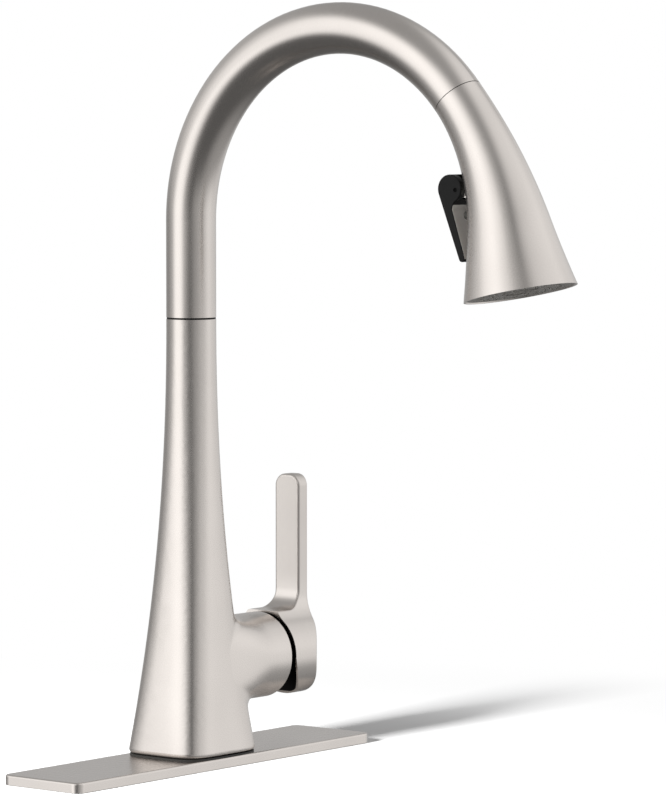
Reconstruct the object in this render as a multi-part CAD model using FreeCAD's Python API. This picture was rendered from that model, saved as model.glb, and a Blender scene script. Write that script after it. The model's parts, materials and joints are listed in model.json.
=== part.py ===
import FreeCAD, Part
import math
import os

# High-arc kitchen faucet with a pull-down spray head, all lengths in millimetres.
# Frame: +Z up, the deck at z = 0, the column on the Z axis, the spout towards -Y, the handle on +X.

# Deck plate and what lies under it
plate_length = 260.0
plate_depth = 57.0
plate_height = 6.0
plate_corner = 5.0
plate_edge = 1.2
plate_wall = 1.4
plate_rim_gap = 0.3
seal_thickness = 1.6
seal_band = 8.0
tray_clearance = 0.4
tray_rib = 2.0
tray_skin = 1.2
tray_cells = 6

# Column: a round tube at its top that swells into a soft rectangle with bowed sides at its foot
tube_radius = 14.2875
base_half_x = 32.8
base_half_y = 28.6
base_power = 4.3
column_flare = 2.1
section_points = 48
foot_ring_height = 1.0
foot_ring_inset = 0.8
column_top = 255.8
body_wall = 3.0
body_floor = 8.0
body_edge = 2.5
body_sections = 12
cavity_sections = 8

# Swivel between column and spout
swivel_bore = 12.2
swivel_depth = 66.0
sleeve_radius = 10.6
sleeve_bore = 8.4
sleeve_grip = 28.0
bush_length = 14.0
bush_set_back = 1.0
bush_lift = 8.0
running_gap = 0.05
seam_height = 1.0
seam_inset = 0.25
clip_height = 1.2
clip_radius = 11.5
clip_gap = 0.2
clip_groove = 0.9
clip_mouth_half = 4.0

# Gooseneck spout
arc_start = 312.5
arc_radius = 107.95
arc_angle = 140.0
spout_wall = 1.6
dock_length = 9.0
dock_bore = 8.0

# Spray head: its middle line leaves the spout on a wider arc and ends straight
head_arc_radius = 165.9
head_face_tilt = 12.2
head_straight = 34.8
head_face_radius = 31.25
head_flare_power = 1.73
head_wall = 2.2
head_rim = 1.0
head_rim_power = 6.0
head_seam = 0.4
head_sections = 24
face_recess = 0.7
face_thickness = 2.5
nozzle_ring_radii = (15.5, 22.0)
nozzle_ring_counts = (16, 24)
nozzle_radius = 0.9
nozzle_tip = 0.6
nozzle_stand = 0.5
mat_thickness = 2.0
aerator_radius = 10.0
aerator_wall = 1.8
aerator_length = 14.0
aerator_pitch = 3.6
aerator_hole = 1.4
aerator_stand = 0.4
aerator_rows = 2
screen_thickness = 2.0
neck_radius = 7.9
neck_bore = 6.5
neck_flange = 4.0
neck_flange_gap = 0.2
waterway_bore = 6.0
waterway_plate = 2.4
ferrule_length = 15.0
check_valve_length = 10.0
check_valve_gap = 3.0

# Spray hose, from the head down through the shank
hose_radius = 5.0
hose_bore = 3.0
hose_clearance = 0.6
hose_straight = 10.0
hose_tail = 22.0
hose_fitting_across = 12.4
hose_fitting_length = 16.0
hose_nipple_radius = 4.5
hose_nipple_length = 12.0

# Spray rocker: its pivot is placed from the middle of the spout's mouth
rocker_pivot_forward = 4.06
rocker_pivot_drop = 50.09
rocker_half_width = 8.0
rocker_knob_offset_y = 4.1
rocker_knob_offset_z = 0.5
rocker_knob_radius = 7.9
rocker_arm_length = 40.0
rocker_arm_lean = 21.5
rocker_arm_root = 6.2
rocker_arm_tip = 3.9
rocker_tip_radius = 1.9
rocker_blend = 5.0
rocker_edge = 0.7
rocker_slot_gap = 0.4
rocker_skin = 2.2
rocker_pin_radius = 1.2
lug_half_width = 3.5
lug_radius = 4.2
plunger_drop = 14.0
plunger_lean = 6.0
plunger_radius = 2.4
plunger_length = 20.0
touch_gap = 0.3
window_run = 7.2
pad_gap = 0.6
pad_top = 9.0

# Valve in the boss on the column's side
valve_height = 57.4
boss_radius = 25.0
boss_end = 61.0
boss_set_in = 0.15
boss_root_start = 3.0
boss_root_end = 46.0
boss_sections = 6
boss_fillet = 12.0
boss_edge = 0.8
valve_bore = 19.6
fit_gap = 0.1
housing_start = 6.6
housing_end = 46.0
housing_floor = 22.0
housing_flat = 2.2
cartridge_radius = 17.5
cartridge_top = 50.0
cartridge_floor = 3.4
disc_chamber = 14.6
disc_thickness = 3.5
moving_disc_radius = 9.5
carrier_radius = 12.0
carrier_start = 36.2
port_circle = 7.0
port_radius = 2.6
seal_radius = 4.4
seal_height = 1.5
seal_bore = 3.0
seal_stand = 0.4
stem_pivot = 44.0
stem_half = 4.0
stem_neck = 2.4
stem_tip = 31.4
stem_end = 79.0
stem_sweep = 20.0
stem_pin_radius = 1.5
bonnet_nose = 64.0
bonnet_set_in = 0.4
bonnet_lip = 0.8
bonnet_bow = 0.7
bonnet_swell = 1.0

# Handle: a cap over the boss end with a flat lever standing on it
cap_radius = 25.4
cap_rim = 64.0
handle_face = 96.0
handle_crown = 31.0
handle_edge = 2.0
lever_edge = 1.6
cap_cavity_radius = 24.2
cap_cavity_depth = 18.0
hub_radius = 8.0
hub_set_back = 6.0
lever_half_width = 9.2
lever_thickness = 9.7
lever_top = 161.4
lever_corner = 7.0
lever_flare = 18.0
lever_sweep = 11.0
relief_mid_x = 5.1
relief_mid_z = 12.0
relief_low_x = 16.2
relief_low_z = 21.5
relief_end_x = 22.0
set_screw_radius = 2.5
set_screw_length = 8.0

# Mounting through the deck
deck_thickness = 30.0
shank_radius = 16.5
shank_bore = 14.4
shank_length = 78.0
pilot_length = 12.0
pilot_radius = 15.6
washer_radius = 29.0
washer_thickness = 3.0
nut_across_flats = 50.0
nut_height = 12.0
clamp_screw_circle = 21.0
clamp_screw_radius = 1.9
clamp_screw_length = 18.0
clamp_screw_count = 3
screw_slot_half = 0.5
screw_slot_depth = 1.0
port_ring = 9.8
port_spread = 40.0
inlet_radius = 3.5
inlet_depth = 12.0
outlet_radius = 3.4
outlet_length = 12.0
block_radius = 16.2

V = FreeCAD.Vector
UP = V(0, 0, 1)
SIDE = V(1, 0, 0)
BACK = V(0, 1, 0)
ORIGIN = V(0, 0, 0)
# cuts run past a face by OVER, and REACH is longer than any piece that a cut goes right through;
# points closer than NEAR count as one when edges are picked for rounding
OVER = 20 * running_gap
NEAR = fit_gap / 100
REACH = column_top / 4

plate_top = plate_height
body_foot = plate_top + foot_ring_height
floor_top = body_foot + body_floor
spout_bottom = column_top + seam_height + running_gap
valve_centre = V(0, 0, valve_height)


# General helpers

def cylinder(radius, start, end, axis=UP, through=ORIGIN):
    """A cylinder about the given axis, from start to end measured along it."""
    return Part.makeCylinder(radius, end - start, through + axis * start, axis)


def tube(outer, inner, start, end, axis=UP, through=ORIGIN):
    hole = cylinder(inner, start - OVER, end + OVER, axis, through)
    return cylinder(outer, start, end, axis, through).cut(hole)


def cone(radius_start, radius_end, start, end, axis=UP, through=ORIGIN):
    return Part.makeCone(radius_start, radius_end, end - start, through + axis * start, axis)


def line(a, b):
    return Part.makeLine(a, b)


def arc(a, b, c):
    return Part.Arc(a, b, c).toShape()


def box(low, high):
    size = high - low
    return Part.makeBox(size.x, size.y, size.z, low)


def prism(edges, along):
    """Close the edges into a face and push it along a vector."""
    return Part.Face(Part.Wire(edges)).extrude(along)


def rounded_rectangle(half_x, half_y, corner, z):
    """A rectangle with round corners, centred on the Z axis."""
    x, y = half_x - corner, half_y - corner
    turn = corner * math.sqrt(0.5)
    edges = []
    for sx, sy in ((1, 1), (-1, 1), (-1, -1), (1, -1)):
        side = V(sx * half_x, sy * y, z)
        end = V(sx * x, sy * half_y, z)
        middle = V(sx * (x + turn), sy * (y + turn), z)
        first, last = (side, end) if sx * sy > 0 else (end, side)
        if edges:
            edges.append(line(edges[-1].Vertexes[-1].Point, first))
        edges.append(arc(first, middle, last))
    edges.append(line(edges[-1].Vertexes[-1].Point, edges[0].Vertexes[0].Point))
    return Part.Wire(edges)


def rounded_slab(half_x, half_y, corner, low, high):
    return Part.Face(rounded_rectangle(half_x, half_y, corner, low)).extrude(UP * (high - low))


def one_solid(shape):
    """Merge split faces and give back the single solid."""
    clean = shape.removeSplitter()
    if len(clean.Solids) != 1:
        raise ValueError("expected one solid, got %d" % len(clean.Solids))
    return clean.Solids[0]


# Deck plate, its tray and its seal

tray_half_x = plate_length / 2 - plate_wall - tray_clearance
tray_half_y = plate_depth / 2 - plate_wall - tray_clearance
tray_corner = plate_corner - plate_wall - tray_clearance
plate_hole = shank_radius + fit_gap * 5


def deck_plate():
    outer = rounded_slab(plate_length / 2, plate_depth / 2, plate_corner, plate_rim_gap, plate_top)
    rim = [e for e in outer.Edges if abs(e.BoundBox.ZMin - plate_top) < NEAR]
    outer = outer.makeFillet(plate_edge, rim)
    hollow = rounded_slab(
        plate_length / 2 - plate_wall, plate_depth / 2 - plate_wall, plate_corner - plate_wall,
        -OVER, plate_top - plate_wall)
    return one_solid(outer.cut(hollow).cut(cylinder(plate_hole, -OVER, plate_top + OVER)))


def deck_tray():
    """Ribbed plastic tray that fills the plate from below."""
    top = plate_top - plate_wall
    tray = rounded_slab(tray_half_x, tray_half_y, tray_corner, seal_thickness, top)
    tray = tray.cut(cylinder(plate_hole, 0, top + OVER))
    inner = tray_half_x - seal_band
    depth = tray_half_y - seal_band
    start = plate_hole + seal_band
    cell = (inner - start + tray_rib) / (tray_cells / 2)
    for side in (-1, 1):
        for number in range(int(tray_cells / 2)):
            near = start + number * cell
            far = near + cell - tray_rib
            low_x, high_x = sorted((side * near, side * far))
            for low_y, high_y in ((-depth, -tray_rib / 2), (tray_rib / 2, depth)):
                tray = tray.cut(box(V(low_x, low_y, 0), V(high_x, high_y, top - tray_skin)))
    return one_solid(tray)


def deck_seal():
    """Flat ring of foam that meets the deck, with a second ring round the hole."""
    outer = rounded_slab(tray_half_x, tray_half_y, tray_corner, 0, seal_thickness)
    inner = rounded_slab(tray_half_x - seal_band, tray_half_y - seal_band, tray_corner,
                         -OVER, seal_thickness + OVER)
    collar = tube(plate_hole + seal_band, plate_hole, 0, seal_thickness)
    bridge = box(V(-seal_band / 2, -tray_half_y + seal_band / 2, 0),
                 V(seal_band / 2, tray_half_y - seal_band / 2, seal_thickness))
    bridge = bridge.cut(cylinder(plate_hole, -OVER, seal_thickness + OVER))
    return one_solid(outer.cut(inner).fuse([collar, bridge]))


# Column

def column_share(z):
    """How far the section has turned from the round top, 0, to the square foot, 1."""
    return ((column_top - z) / (column_top - body_foot)) ** column_flare


def smooth_loop(points):
    """Closed smooth curve through points."""
    curve = Part.BSplineCurve()
    curve.interpolate(points, PeriodicFlag=True)
    return Part.Wire(curve.toShape())


def superellipse(power):
    """Points round |u| ** power + |w| ** power = 1: a circle for 2, squarer above."""
    places = []
    for number in range(section_points):
        turn = 2 * math.pi * number / section_points
        u, w = math.cos(turn), math.sin(turn)
        reach = (abs(u) ** power + abs(w) ** power) ** (-1 / power)
        places.append((reach * u, reach * w))
    return places


def column_half(base_half, z):
    """Half size of the column across one of its two ways at a height."""
    return tube_radius + (base_half - tube_radius) * column_share(z)


def column_section(z, inset):
    half_x = column_half(base_half_x, z) - inset
    half_y = column_half(base_half_y, z) - inset
    power = 2 + (base_power - 2) * column_share(z)
    return smooth_loop([V(half_x * u, half_y * w, z) for u, w in superellipse(power)])


def column_loft(low, high, steps, inset):
    """Solid through evenly spaced sections of the column, all drawn in by the same inset."""
    sections = []
    for number in range(steps + 1):
        share = number / steps
        sections.append(column_section(low + (high - low) * share, inset))
    return Part.makeLoft(sections, True, False)


def boss_section(x):
    """Across the boss: squarish and just inside the column's sides at the root, easing into a circle."""
    share = (x - boss_root_start) / (boss_root_end - boss_root_start)
    eased = share * share * (3 - 2 * share)
    points = []
    for u, w in superellipse(base_power + (2 - base_power) * eased):
        z = valve_height + boss_radius * w
        side = column_half(base_half_y, z) - boss_set_in
        points.append(V(x, u * (side + (boss_radius - side) * eased), z))
    return smooth_loop(points)


def boss():
    """Side boss: a squarish root inside the column that grows into a round end."""
    span = boss_root_end - boss_root_start
    sections = [boss_section(boss_root_start + span * n / boss_sections) for n in range(boss_sections + 1)]
    root = Part.makeLoft(sections, True, False)
    end = Part.Face(sections[-1]).extrude(SIDE * (boss_end - boss_root_end))
    rim = [e for e in end.Edges if abs(e.BoundBox.XMin - boss_end) < NEAR]
    return root.fuse(end.makeFillet(boss_edge, rim))


def body():
    outer = column_loft(body_foot, column_top, body_sections, 0)
    foot = [e for e in outer.Edges if abs(e.BoundBox.ZMax - body_foot) < NEAR]
    outer = outer.makeFillet(body_edge, foot)
    outer = outer.fuse(boss())
    root = [e for e in outer.Edges if on_boss_root(e)]
    outer = outer.makeFillet(boss_fillet, root)
    bore_foot = column_top - swivel_depth
    cavity = column_loft(floor_top, bore_foot + OVER, cavity_sections, body_wall)
    hollow = [
        cavity,
        cylinder(swivel_bore, bore_foot, column_top + OVER),
        cylinder(shank_radius + running_gap, body_foot - OVER, floor_top + OVER),
        cylinder(valve_bore, housing_start - OVER, boss_end + OVER, SIDE, valve_centre),
    ]
    return one_solid(outer.cut(hollow))


def on_boss_root(edge):
    """True for the edges where the boss leaves the column."""
    reach = edge.BoundBox
    inside = reach.XMin > boss_root_start and reach.XMax < boss_root_end - boss_edge
    beside = abs(edge.CenterOfMass.z - valve_height) < boss_radius + boss_fillet
    return inside and beside and edge.Length > OVER


def foot_ring():
    half_x = base_half_x - foot_ring_inset
    half_y = base_half_y - foot_ring_inset
    outline = smooth_loop([V(half_x * u, half_y * w, plate_top) for u, w in superellipse(base_power)])
    ring = Part.Face(outline).extrude(UP * foot_ring_height)
    return one_solid(ring.cut(cylinder(plate_hole, plate_top - OVER, body_foot + OVER)))


# Swivel

bush_radius = swivel_bore - running_gap
upper_bush_top = column_top - bush_set_back
lower_bush_foot = column_top - swivel_depth + bush_lift
clip_top = lower_bush_foot - clip_gap
sleeve_foot = clip_top - 3 * clip_height


def swivel_bush(foot):
    return tube(bush_radius, sleeve_radius + running_gap, foot, foot + bush_length)


def seam_ring():
    outer = tube_radius - seam_inset
    inner = sleeve_radius + 3 * running_gap
    return tube(outer, inner, column_top, column_top + seam_height)


def swivel_sleeve():
    """Brass tail of the spout: a shoulder that grips the spout and a journal that turns in the column."""
    grip_radius = tube_radius - spout_wall - running_gap
    grip = tube(grip_radius, sleeve_bore, spout_bottom, spout_bottom + sleeve_grip)
    journal = tube(sleeve_radius, sleeve_bore, sleeve_foot, spout_bottom + OVER)
    groove_foot = clip_top - clip_height - running_gap
    groove = tube(sleeve_radius + OVER, sleeve_radius - clip_groove, groove_foot, clip_top + running_gap)
    return one_solid(grip.fuse(journal).cut(groove))


def swivel_clip():
    """Open spring ring in the journal's groove, which keeps the spout from lifting off."""
    inner = sleeve_radius - clip_groove + fit_gap
    ring = tube(clip_radius, inner, clip_top - clip_height, clip_top)
    mouth = box(V(-clip_mouth_half, 0, clip_top - 2 * clip_height),
                V(clip_mouth_half, clip_radius + OVER, clip_top + OVER))
    return one_solid(ring.cut(mouth))


# Gooseneck

arc_centre = V(0, -arc_radius, arc_start)
pull_tilt = 180.0 - arc_angle


def arc_point(angle):
    turn = math.radians(angle)
    return arc_centre + V(0, arc_radius * math.cos(turn), arc_radius * math.sin(turn))


def lean(tilt):
    """The direction that points down and forward, tilt degrees off the vertical."""
    turn = math.radians(tilt)
    return V(0, -math.sin(turn), -math.cos(turn))


spout_end = arc_point(arc_angle)
pull_axis = lean(pull_tilt)


def bend(radius, start_angle, end_angle):
    """A solid length of the gooseneck's bend."""
    section = Part.Circle(arc_point(start_angle), lean(180.0 - start_angle), radius)
    disc = Part.Face(Part.Wire(section.toShape()))
    return disc.revolve(arc_centre, SIDE, end_angle - start_angle)


def spout():
    inner = tube_radius - spout_wall
    outside = cylinder(tube_radius, spout_bottom, arc_start).fuse(bend(tube_radius, 0, arc_angle))
    inside = cylinder(inner, spout_bottom - OVER, arc_start).fuse(bend(inner, 0, arc_angle))
    return one_solid(outside.cut(inside))


def dock_insert():
    """Plastic guide in the spout's mouth with a straight bore along the pull."""
    span = math.degrees(dock_length / arc_radius)
    plug = bend(tube_radius - spout_wall - running_gap, arc_angle - span, arc_angle)
    return one_solid(plug.cut(cylinder(dock_bore, -2 * dock_length, dock_length, pull_axis, spout_end)))


# Spray head

head_bend = pull_tilt - head_face_tilt
head_arc_length = head_arc_radius * math.radians(head_bend)
head_length = head_arc_length + head_straight
head_top = head_seam


def head_tilt(distance):
    turned = math.degrees(min(distance, head_arc_length) / head_arc_radius)
    return pull_tilt - turned


def head_point(distance):
    """A point of the head's middle line, measured from the spout's mouth."""
    normal = V(0, math.cos(math.radians(pull_tilt)), -math.sin(math.radians(pull_tilt)))
    centre = spout_end + normal * head_arc_radius
    tilt = math.radians(head_tilt(distance))
    on_arc = centre - V(0, math.cos(tilt), -math.sin(tilt)) * head_arc_radius
    return on_arc + lean(head_face_tilt) * max(0.0, distance - head_arc_length)


def head_radius(distance):
    share = max(0.0, distance) / head_length
    return tube_radius + (head_face_radius - tube_radius) * share ** head_flare_power


def head_bore(distance):
    """Inside radius of the shell, whose wall thins towards the mouth."""
    share = max(0.0, distance) / head_length
    return head_radius(distance) - head_wall + (head_wall - head_rim) * share ** head_rim_power


def head_section(distance, radius):
    ring = Part.Wire(Part.Circle(ORIGIN, UP, radius).toShape())
    ring.rotate(ORIGIN, SIDE, -head_tilt(distance))
    ring.translate(head_point(distance))
    return ring


def head_loft(low, high, radius_at):
    """Solid along the head's middle line whose radius at each distance is given by a function."""
    places = [low + (high - low) * n / head_sections for n in range(head_sections + 1)]
    return Part.makeLoft([head_section(place, radius_at(place)) for place in places], True, False)


face_centre = head_point(head_length)
mitre = head_arc_radius * math.tan(math.radians(head_bend / 2))
mitre_height = head_straight + mitre


def in_head(shape):
    """Bring a shape built upwards from the spray face to its place in the head."""
    shape.rotate(ORIGIN, SIDE, -head_face_tilt)
    shape.translate(face_centre)
    return shape


def rocker_window():
    """Slot through the shell for the rocker's bracket and the plunger."""
    half = lug_half_width + rocker_slot_gap
    top = rocker_pivot.z + lug_radius + rocker_slot_gap
    foot = plunger_point.z - plunger_radius - window_run
    middle = head_point(rocker_pivot_drop)
    return box(V(-half, middle.y, foot), V(half, rocker_pivot.y, top))


def head_shell():
    outer = head_loft(head_top, head_length, head_radius)
    inner = head_loft(head_top - OVER, head_length + OVER, head_bore)
    shell = outer.cut(inner)
    return one_solid(shell.cut(rocker_window()))


def head_neck():
    """Upper water tube with the spigot that seats in the spout's dock."""
    seat = head_top + neck_flange_gap
    spigot = cylinder(neck_radius, -dock_length, seat + OVER, pull_axis, spout_end)
    flange = cylinder(tube_radius - head_wall - fit_gap, seat, seat + neck_flange, pull_axis, spout_end)
    stem = cylinder(neck_radius, seat, mitre + REACH / 4, pull_axis, spout_end)
    bores = [
        cylinder(neck_bore, -dock_length - OVER, ferrule_length - dock_length + OVER, pull_axis, spout_end),
        cylinder(waterway_bore, 0, REACH * 2, pull_axis, spout_end),
    ]
    whole = spigot.fuse([flange, stem]).cut(bores)
    return one_solid(whole.cut(mitre_block(1)))


def mitre_block(side):
    """Half space below, 1, or above, -1, the plane where the two water tubes meet."""
    corner = spout_end + pull_axis * mitre
    direction = lean(head_face_tilt + head_bend / 2) * side
    return Part.makeCylinder(REACH, REACH, corner - direction * (touch_gap / 4), direction)


def head_waterway():
    """Lower water tube that widens over the aerator into the plate behind the nozzles."""
    low = face_recess + face_thickness + mat_thickness
    plate_top_z = low + waterway_plate
    plate_radius = head_bore(head_length - plate_top_z) - touch_gap
    well = aerator_radius + fit_gap
    roof = aerator_length + running_gap
    shoulder = well + waterway_plate
    outline = [
        (well, low), (plate_radius, low), (plate_radius, plate_top_z), (shoulder, plate_top_z),
        (shoulder, roof), (neck_radius, roof + 2 * waterway_plate), (neck_radius, mitre_height + REACH / 4),
        (waterway_bore, mitre_height + REACH / 4), (waterway_bore, roof), (well, roof), (well, low)]
    face = Part.Face(Part.makePolygon([V(radius, 0, z) for radius, z in outline]))
    whole = in_head(face.revolve(ORIGIN, UP, 360)).cut(mitre_block(-1))
    seat_radius = plunger_radius + running_gap
    seat = cylinder(seat_radius, -2 * plunger_length, plunger_length, plunger_axis, plunger_point)
    return one_solid(whole.cut(seat))


def nozzle_places():
    for radius, count in zip(nozzle_ring_radii, nozzle_ring_counts):
        for number in range(count):
            turn = 2 * math.pi * number / count
            yield V(radius * math.cos(turn), radius * math.sin(turn), 0)


def spray_face():
    top = face_recess + face_thickness
    low_radius = head_bore(head_length - face_recess) - touch_gap
    top_radius = head_bore(head_length - top) - touch_gap
    plate = cone(low_radius, top_radius, face_recess, top)
    holes = [cylinder(nozzle_radius + fit_gap, 0, top + OVER, UP, place) for place in nozzle_places()]
    holes.append(cylinder(aerator_radius + fit_gap, 0, top + OVER))
    return in_head(one_solid(plate.cut(holes)))


def nozzle_mat():
    """Soft sheet whose nipples stand through the holes of the spray face."""
    low = face_recess + face_thickness
    outer = head_bore(head_length - low - mat_thickness) - 2 * touch_gap
    sheet = tube(outer, aerator_radius + 2 * fit_gap, low, low + mat_thickness)
    tip = face_recess - nozzle_stand
    root = low + mat_thickness / 4
    nipples = [cone(nozzle_tip, nozzle_radius, tip, root, UP, place) for place in nozzle_places()]
    return in_head(one_solid(sheet.fuse(nipples)))


def aerator_housing():
    lip = face_recess - aerator_stand
    barrel = tube(aerator_radius, aerator_radius - aerator_wall, lip, aerator_length)
    return in_head(one_solid(barrel))


def aerator_screen():
    """Honeycomb insert that mixes air into the stream."""
    radius = aerator_radius - aerator_wall - running_gap
    disc = cylinder(radius, face_recess, face_recess + screen_thickness)
    holes = []
    for row in range(-aerator_rows, aerator_rows + 1):
        for column in range(-aerator_rows, aerator_rows + 1):
            x = (column + row / 2) * aerator_pitch
            y = row * aerator_pitch * math.sqrt(0.75)
            if math.hypot(x, y) < radius - aerator_hole:
                holes.append(cylinder(aerator_hole, 0, face_recess + 2 * screen_thickness, UP, V(x, y, 0)))
    return in_head(one_solid(disc.cut(holes)))


def check_valve():
    start = ferrule_length - dock_length + check_valve_gap
    radius = waterway_bore - fit_gap
    return tube(radius, radius / 2, start, start + check_valve_length, pull_axis, spout_end)


# Rocker and diverter plunger

rocker_pivot = spout_end - V(0, rocker_pivot_forward, rocker_pivot_drop)
plunger_lever = lean(plunger_lean)
plunger_axis = SIDE.cross(plunger_lever)
plunger_point = rocker_pivot + plunger_lever * plunger_drop
knob_centre = rocker_pivot + V(0, rocker_knob_offset_y, rocker_knob_offset_z)
arm_along = lean(rocker_arm_lean)
arm_out = SIDE.cross(arm_along)
arm_root = knob_centre + arm_out * (rocker_knob_radius - rocker_arm_root)
arm_tip = knob_centre + arm_out * (rocker_knob_radius - rocker_arm_tip) + arm_along * rocker_arm_length


def rocker_slot():
    """Room between the rocker's cheeks for the bracket, rounded inside the knob."""
    half = lug_half_width + rocker_slot_gap
    depth = rocker_knob_offset_y + rocker_knob_radius - rocker_skin
    low = -lug_radius - 2 * rocker_slot_gap
    room = box(rocker_pivot + V(-half, -REACH, low), rocker_pivot + V(half, depth, REACH))
    knob = Part.makeCylinder(rocker_knob_radius - rocker_skin, 2 * half, knob_centre - SIDE * half, SIDE)
    open_side = box(rocker_pivot + V(-half, -REACH, -REACH),
                    rocker_pivot + V(half, rocker_knob_offset_y, REACH))
    return room.common(knob.fuse(open_side))


def runs_across(edge, point):
    """True for the edge that crosses the rocker from side to side at a point of its middle plane."""
    return edge.BoundBox.XLength > rocker_half_width and (edge.CenterOfMass - point).Length < NEAR


def rocker_blank():
    """Knob and arm before the slot is cut, with a round tip and a hollow curve between the two."""
    half = rocker_half_width
    knob = Part.makeCylinder(rocker_knob_radius, 2 * half, knob_centre - SIDE * half, SIDE)
    outer_top = knob_centre + arm_out * rocker_knob_radius
    outer_tip = outer_top + arm_along * rocker_arm_length
    corners = [outer_top, outer_tip, arm_tip, arm_root, outer_top]
    arm = Part.Face(Part.makePolygon([corner - SIDE * half for corner in corners])).extrude(SIDE * (2 * half))
    whole = one_solid(knob.fuse(arm))
    tips = [e for e in whole.Edges if runs_across(e, outer_tip) or runs_across(e, arm_tip)]
    whole = whole.makeFillet(rocker_tip_radius, tips)
    across = [e for e in whole.Edges if e.BoundBox.XLength > half]
    on_knob = [e for e in across if abs((e.CenterOfMass - knob_centre).Length - rocker_knob_radius) < NEAR]
    hollow = max(on_knob, key=lambda e: (e.CenterOfMass - outer_top).Length)
    whole = whole.makeFillet(rocker_blend, [hollow])
    sides = [e for e in whole.Edges if e.BoundBox.XLength < NEAR]
    return whole.makeFillet(rocker_edge, sides)


def rocker():
    """Round knob with a tapering thumb arm, hollow between two cheeks that ride on the bracket."""
    half = rocker_half_width
    hole_radius = rocker_pin_radius + running_gap
    hole = Part.makeCylinder(hole_radius, 4 * half, rocker_pivot - SIDE * (2 * half), SIDE)
    return one_solid(rocker_blank().cut([rocker_slot(), hole]))


def rocker_pad():
    """Pad under the rocker's arm that fills the shell's window."""
    run = (arm_tip - arm_root).normalize()
    inward = run.cross(SIDE) * pad_gap
    high = arm_root + run * pad_top + inward
    low = arm_root + run * (plunger_drop + window_run) + inward
    middle = head_point(rocker_pivot_drop)
    corners = [high, low, V(0, middle.y, low.z), V(0, middle.y, high.z), high]
    corners = [corner - SIDE * lug_half_width for corner in corners]
    return Part.Face(Part.makePolygon(corners)).extrude(SIDE * (2 * lug_half_width))


def rocker_bracket():
    """Lug that reaches out through the shell's window from the water tube, with the pad under the rocker."""
    eye = Part.makeCylinder(lug_radius, 2 * lug_half_width, rocker_pivot - SIDE * lug_half_width, SIDE)
    arm = box(V(-lug_half_width, face_centre.y, rocker_pivot.z - lug_radius),
              rocker_pivot + V(lug_half_width, 0, lug_radius))
    whole = eye.fuse([arm, rocker_pad()])
    keep = in_head(cylinder(neck_radius + running_gap, 0, mitre_height + REACH))
    hole = Part.makeCylinder(rocker_pin_radius, 2 * REACH, rocker_pivot - SIDE * REACH, SIDE)
    way = cylinder(plunger_radius + running_gap, -REACH, REACH, plunger_axis, plunger_point)
    pieces = whole.cut([keep, hole, way]).Solids
    return one_solid(max(pieces, key=lambda piece: piece.BoundBox.YMax))


def rocker_pin():
    length = 2 * (rocker_half_width - touch_gap)
    return Part.makeCylinder(rocker_pin_radius, length, rocker_pivot - SIDE * (length / 2), SIDE)


def diverter_plunger():
    """Pin that the rocker's arm draws out to change the spray."""
    tip = -touch_gap
    return cylinder(plunger_radius, tip - plunger_length, tip, plunger_axis, plunger_point)


# Hose

def hose_path():
    """Down the pull axis, over the arc inside the spout and straight down through the shank."""
    inner_end = ferrule_length - dock_length - OVER
    start = spout_end + pull_axis * inner_end
    half_turn = math.radians(arc_angle / 2)
    bend_radius = arc_radius - hose_straight / math.tan(half_turn)
    bend_start = spout_end - pull_axis * hose_straight
    bend_end = V(0, 0, arc_start + hose_straight)
    centre = V(0, -bend_radius, arc_start + hose_straight)
    middle = centre + V(0, bend_radius * math.cos(half_turn), bend_radius * math.sin(half_turn))
    foot = V(0, 0, -shank_length - hose_tail)
    return start, [line(start, bend_start), arc(bend_start, middle, bend_end), line(bend_end, foot)]


def spray_hose():
    start, edges = hose_path()
    path = Part.Wire(edges)
    tubes = []
    for radius in (hose_radius, hose_bore):
        ring = Part.Wire(Part.Circle(start, pull_axis, radius).toShape())
        tubes.append(path.makePipeShell([ring], True, False))
    return one_solid(tubes[0].cut(tubes[1]))


def hose_ferrule():
    start = OVER / 2 - dock_length
    end = start + ferrule_length - OVER
    return tube(neck_bore - running_gap, hose_radius + running_gap, start, end, pull_axis, spout_end)


def hose_fitting():
    """Hexagonal coupling on the hose's foot, with the nipple of its screwed end."""
    foot = -shank_length - hose_tail
    top = foot + hose_fitting_length / 2
    barrel = hexagon(hose_fitting_across, foot - hose_fitting_length / 2, top)
    nipple = cylinder(hose_nipple_radius, foot - hose_fitting_length / 2 - hose_nipple_length, foot)
    whole = barrel.fuse(nipple)
    whole = whole.cut(cylinder(hose_radius + running_gap, foot - running_gap, top + OVER))
    return one_solid(whole.cut(cylinder(hose_bore, foot - REACH, foot + OVER)))


def hexagon(across_flats, low, high):
    radius = across_flats / math.sqrt(3)
    corners = []
    for number in range(7):
        turn = math.radians(60 * number)
        corners.append(V(radius * math.cos(turn), radius * math.sin(turn), low))
    return Part.Face(Part.makePolygon(corners)).extrude(UP * (high - low))


# Valve

def valve_place(x, y=0.0, z=0.0):
    return V(x, y, valve_height + z)


def port_places(x):
    for turn in (90, 210, 330):
        angle = math.radians(turn)
        yield V(x, port_circle * math.cos(angle), valve_height + port_circle * math.sin(angle))


housing_radius = valve_bore - fit_gap
block_top = valve_height - housing_radius + housing_flat
seal_foot = housing_floor + running_gap
cartridge_foot = housing_floor + seal_stand
chamber_floor = cartridge_foot + cartridge_floor
fixed_disc_top = chamber_floor + disc_thickness
moving_disc_top = fixed_disc_top + running_gap + disc_thickness


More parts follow.
